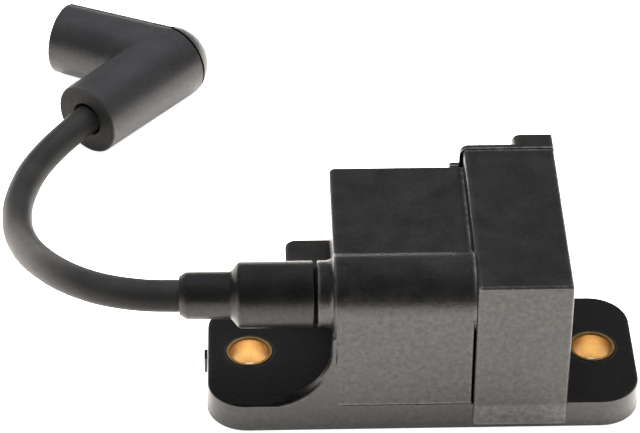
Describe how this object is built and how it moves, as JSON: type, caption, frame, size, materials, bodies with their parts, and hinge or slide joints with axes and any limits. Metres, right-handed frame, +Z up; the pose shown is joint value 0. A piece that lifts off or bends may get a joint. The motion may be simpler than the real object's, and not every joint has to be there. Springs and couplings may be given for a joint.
{
  "type": "ignition coil",
  "caption": "Potted ignition coil module with an electronics housing, brass bushed base ears and a captive high tension lead ending in a right-angle plug boot.",
  "frame": {"origin": "midpoint between the two mounting holes on the underside of the base", "axes": "+X along the base from the lead's side to the electronics housing, +Y to the back, +Z up from the mounting face"},
  "size_m": [0.1429, 0.1512, 0.0396],
  "materials": {
    "moulded_base": "moulded, satin, dusty",
    "moulded_case": "moulded, satin, dusty",
    "moulded_housing": "moulded, satin, dusty",
    "bushing_brass": "turned",
    "terminal_brass": "turned",
    "sleeve_rubber": "moulded, matt",
    "boot_rubber": "moulded, matt",
    "lead_jacket": "extruded, soft sheen",
    "seal_rubber": "moulded",
    "core_steel": "laminated",
    "terminal_steel": "tinned",
    "coil_copper": "enamelled wire",
    "bobbin_nylon": "natural nylon",
    "resin_black": "cast, gloss",
    "board_laminate": "solder mask",
    "film_capacitor": "dipped",
    "epoxy_black": "moulded",
    "resistor_tan": "lacquered",
    "disc_ochre": "dipped",
    "wire_red": "insulated wire"
  },
  "bodies": {
    "coil": {"base_plate": "moulded_base", "bushing_left": "bushing_brass", "bushing_right": "bushing_brass", "coil_case": "moulded_case", "potting_resin": "resin_black", "core_leg": "core_steel", "core_yoke": "core_steel", "primary_bobbin": "bobbin_nylon", "primary_winding": "coil_copper", "secondary_bobbin": "bobbin_nylon", "secondary_winding": "coil_copper", "ht_terminal": "terminal_brass", "ht_link": "coil_copper", "electronics_housing": "moulded_housing", "rear_cover": "moulded_housing", "connector_pins": "terminal_steel", "connector_seal": "seal_rubber", "pin_header": "epoxy_black", "circuit_board": "board_laminate", "storage_capacitor": "film_capacitor", "thyristor": "epoxy_black", "diodes": "epoxy_black", "resistors": "resistor_tan", "ceramic_capacitors": "disc_ochre", "link_leads": "wire_red", "ht_lead": "lead_jacket"},
    "sleeve": {"tower_sleeve": "sleeve_rubber"},
    "plug": {"plug_boot": "boot_rubber", "plug_terminal": "terminal_steel", "terminal_spring": "terminal_steel", "lead_crimp": "terminal_brass"}
  },
  "joints": [
    {"name": "sleeve_slide", "type": "slide", "parent": "coil", "child": "sleeve", "axis": [-1, 0, 0], "range_m": [0, 0.003]},
    {"name": "boot_swivel", "type": "hinge", "parent": "coil", "child": "plug", "pos_m": [-0.057, 0.111, 0.0095], "axis": [0.6428, 0.766, 0], "range_deg": [0, 180]}
  ]
}
